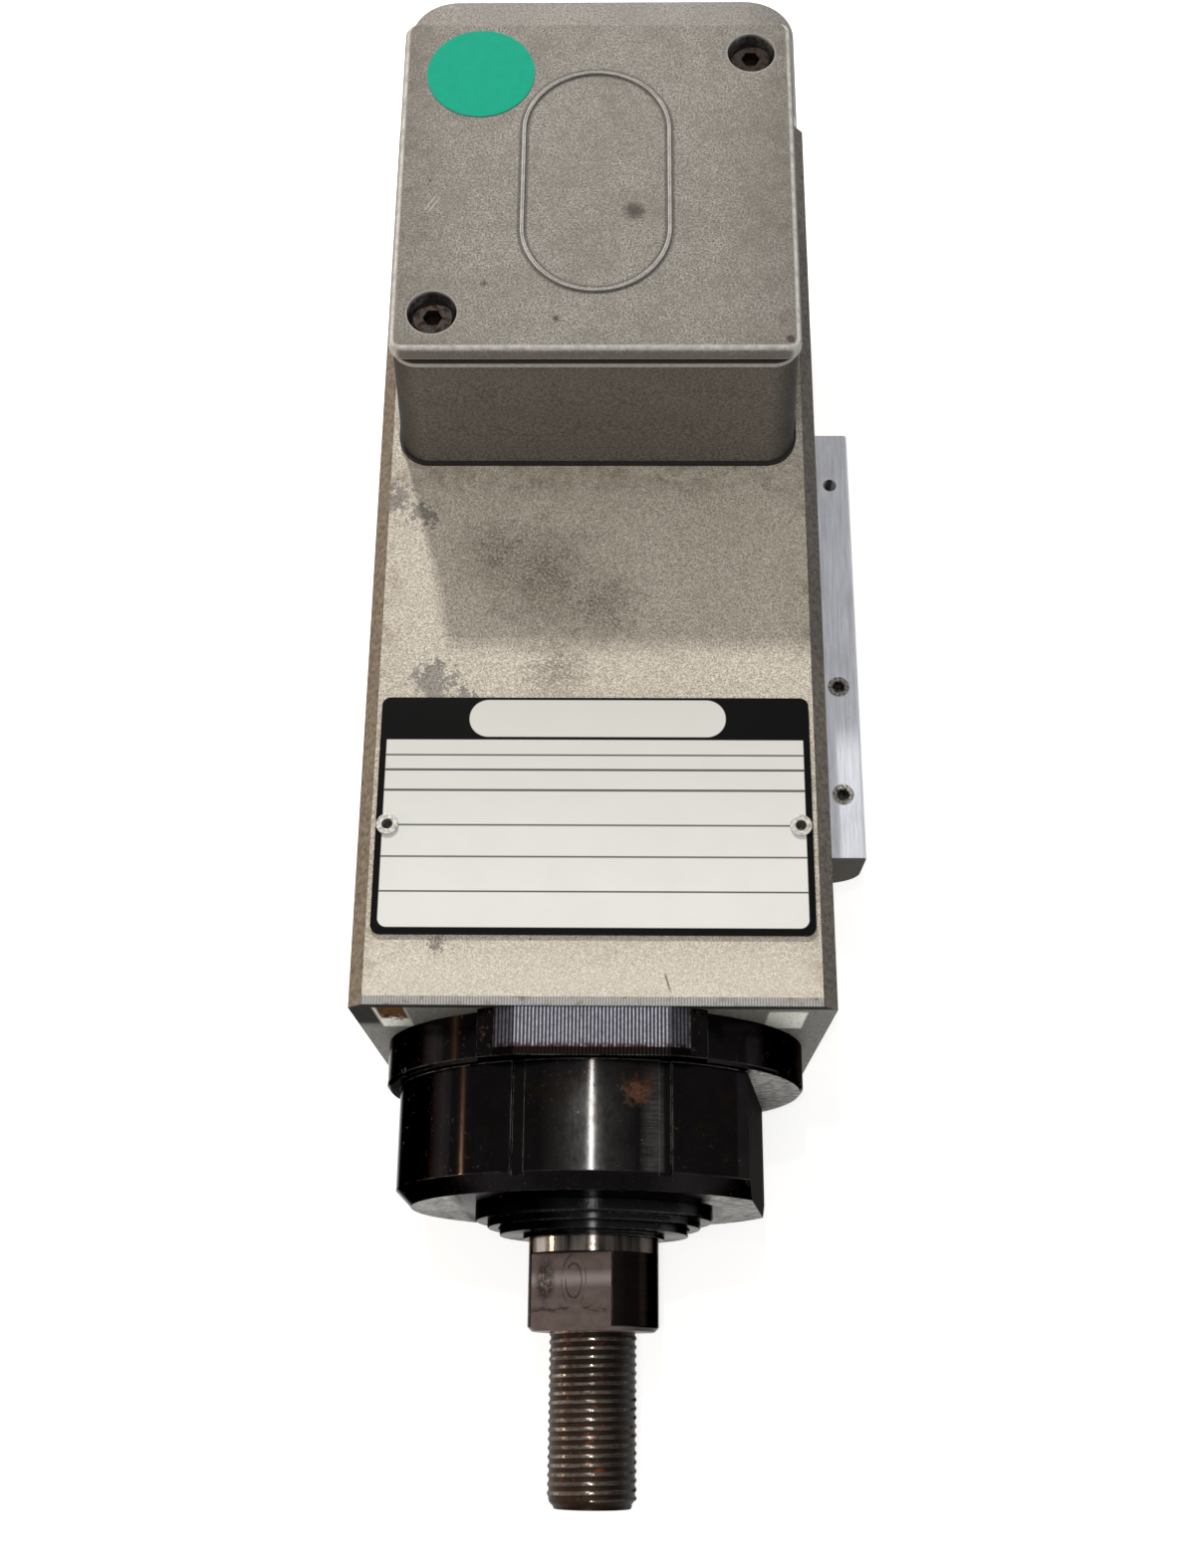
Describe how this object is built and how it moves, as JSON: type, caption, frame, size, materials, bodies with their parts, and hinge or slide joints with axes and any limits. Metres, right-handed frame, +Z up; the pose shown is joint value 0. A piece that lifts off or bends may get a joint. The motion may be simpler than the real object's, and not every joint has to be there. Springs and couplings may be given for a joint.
{
  "type": "motor spindle",
  "caption": "Square-bodied high-frequency motor spindle with a threaded tool end, round black nose, terminal box on top and a fan at the rear.",
  "frame": {"origin": "on the shaft axis, in the collar's front face where the tool seats", "axes": "+Y along the shaft from the tool to the fan, +Z up through the terminal box, +X to the side that carries the aluminium bar"},
  "size_m": [0.0926, 0.3024, 0.1169],
  "materials": {
    "housing_paint": "fine hammered paint, silver beige",
    "black_steel": "black oxide on turned steel",
    "dark_steel": "turned, darkened",
    "shaft_steel": "ground and turned, slightly rusty",
    "black_screw": "black oxide",
    "zinc_screw": "zinc plated",
    "bearing_steel": "ground",
    "cage_brass": "machined",
    "lamination": "stacked sheet",
    "copper": "varnished copper wire",
    "cast_aluminium": "die cast",
    "black_plastic": "moulded",
    "cover_paint": "light grey, satin",
    "box_casting": "die cast, unpainted",
    "lid_casting": "die cast, blasted",
    "black_rubber": "flat sheet",
    "brown_plastic": "moulded",
    "brass_stud": "turned",
    "printed_plate": "printed black on silver white",
    "rivet_aluminium": "drawn",
    "bar_aluminium": "milled"
  },
  "bodies": {
    "motor": {"motor_housing": "housing_paint", "nose_housing": "black_steel", "nose_screws": "black_screw", "labyrinth_cover": "black_steel", "front_bearing_outer_ring": "bearing_steel", "middle_bearing_outer_ring": "bearing_steel", "rear_bearing_outer_ring": "bearing_steel", "outer_spacer": "bearing_steel", "bearing_retainer": "black_steel", "retainer_screws": "black_screw", "stator_core": "lamination", "stator_winding": "copper", "wave_spring": "bearing_steel", "rear_shield": "cast_aluminium", "shield_screws": "black_screw", "fan_cover": "cover_paint", "fan_cover_screws": "zinc_screw", "box_gasket": "black_rubber", "terminal_box": "box_casting", "box_screws": "zinc_screw", "lid_gasket": "black_rubber", "terminal_lid": "lid_casting", "lid_screws": "black_screw", "terminal_block": "brown_plastic", "terminal_studs": "brass_stud", "terminal_nuts": "brass_stud", "name_plate": "printed_plate", "plate_rivets": "rivet_aluminium", "side_bar": "bar_aluminium", "side_bar_screws": "black_screw", "side_bar_grub_screws": "zinc_screw"},
    "spindle": {"spindle_shaft": "shaft_steel", "labyrinth_ring": "dark_steel", "front_bearing_inner_ring": "bearing_steel", "middle_bearing_inner_ring": "bearing_steel", "rear_bearing_inner_ring": "bearing_steel", "inner_spacer": "bearing_steel", "bearing_locknut": "black_steel", "rotor_core": "lamination", "rotor_cage": "cast_aluminium", "cooling_fan": "black_plastic", "fan_circlip": "bearing_steel"},
    "front_cage": {"front_bearing_cage": "cage_brass"},
    "middle_cage": {"middle_bearing_cage": "cage_brass"},
    "rear_cage": {"rear_bearing_cage": "cage_brass"}
  },
  "joints": [
    {"name": "spindle_spin", "type": "hinge", "parent": "motor", "child": "spindle", "pos_m": [0, 0, 0], "axis": [0, 1, 0], "continuous": true},
    {"name": "front_cage_spin", "type": "hinge", "parent": "motor", "child": "front_cage", "pos_m": [0, 0.0325, 0], "axis": [0, 1, 0], "continuous": true},
    {"name": "middle_cage_spin", "type": "hinge", "parent": "motor", "child": "middle_cage", "pos_m": [0, 0.0485, 0], "axis": [0, 1, 0], "continuous": true},
    {"name": "rear_cage_spin", "type": "hinge", "parent": "motor", "child": "rear_cage", "pos_m": [0, 0.2362, 0], "axis": [0, 1, 0], "continuous": true}
  ],
  "couplings": [
    {"joint": "front_cage_spin", "follows": "spindle_spin", "ratio": 0.4},
    {"joint": "middle_cage_spin", "follows": "spindle_spin", "ratio": 0.4},
    {"joint": "rear_cage_spin", "follows": "spindle_spin", "ratio": 0.3842}
  ]
}
